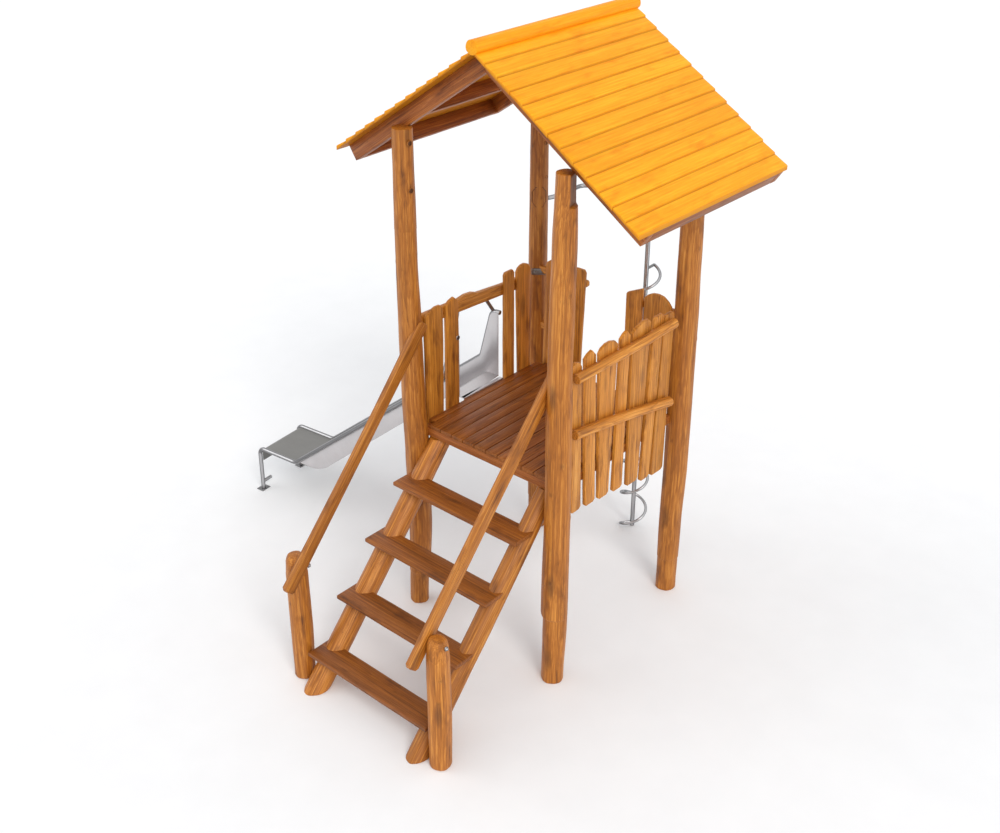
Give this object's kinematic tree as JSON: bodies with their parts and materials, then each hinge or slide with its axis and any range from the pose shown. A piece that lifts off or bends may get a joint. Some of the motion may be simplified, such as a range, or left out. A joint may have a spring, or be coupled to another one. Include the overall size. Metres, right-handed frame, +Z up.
{
  "type": "play tower with slide and climber",
  "caption": "Wooden play tower on log posts with a gable roof, an open log stair with handrails, picket panels, a steel slide and a steel spiral climber.",
  "frame": {"origin": "centre of the foot of the front left post, at ground level", "axes": "+X across the stair from the slide side to the fence side, +Y from the stair to the climber, +Z up"},
  "size_m": [3.9309, 3.2111, 4.1989],
  "materials": {
    "log_wood": "oiled, peeled log with fine checks",
    "plank_wood": "oiled planed board",
    "beam_wood": "oiled sawn timber",
    "picket_wood": "oiled board with eased edges",
    "roof_wood": "yellow stain on planed boards",
    "sheet_steel": "brushed sheet",
    "tube_steel": "polished tube"
  },
  "bodies": {
    "root": {"post_front_left": "log_wood", "post_front_right": "log_wood", "post_back_left": "log_wood", "post_back_right": "log_wood", "deck_boards": "plank_wood", "deck_beam_front": "beam_wood", "deck_beam_back": "beam_wood", "deck_beam_left": "beam_wood", "deck_beam_right": "beam_wood", "deck_joist": "beam_wood", "stringer_left": "log_wood", "stringer_right": "log_wood", "tread_1": "plank_wood", "tread_2": "plank_wood", "tread_3": "plank_wood", "tread_4": "plank_wood", "newel_left": "log_wood", "newel_right": "log_wood", "handrail_left": "beam_wood", "handrail_right": "beam_wood", "roof_slope_left": "roof_wood", "roof_slope_right": "roof_wood", "ridge_pole": "roof_wood", "ridge_beam": "beam_wood", "rafter_front_left": "beam_wood", "rafter_front_right": "beam_wood", "rafter_back_left": "beam_wood", "rafter_back_right": "beam_wood", "roof_beams_left": "beam_wood", "roof_beams_right": "beam_wood", "slide_chute": "sheet_steel", "slide_rail_near": "tube_steel", "slide_rail_far": "tube_steel", "slide_hoop": "tube_steel", "slide_side_pickets": "picket_wood", "slide_side_rail": "picket_wood", "fence_pickets": "picket_wood", "fence_rail_upper": "picket_wood", "fence_rail_lower": "picket_wood", "back_pickets_left": "picket_wood", "back_pickets_right": "picket_wood", "back_rails_left": "picket_wood", "back_rails_right": "picket_wood", "panel_brackets": "tube_steel", "climb_pole": "tube_steel", "climb_spiral": "tube_steel", "climb_frame": "tube_steel"}
  },
  "joints": []
}
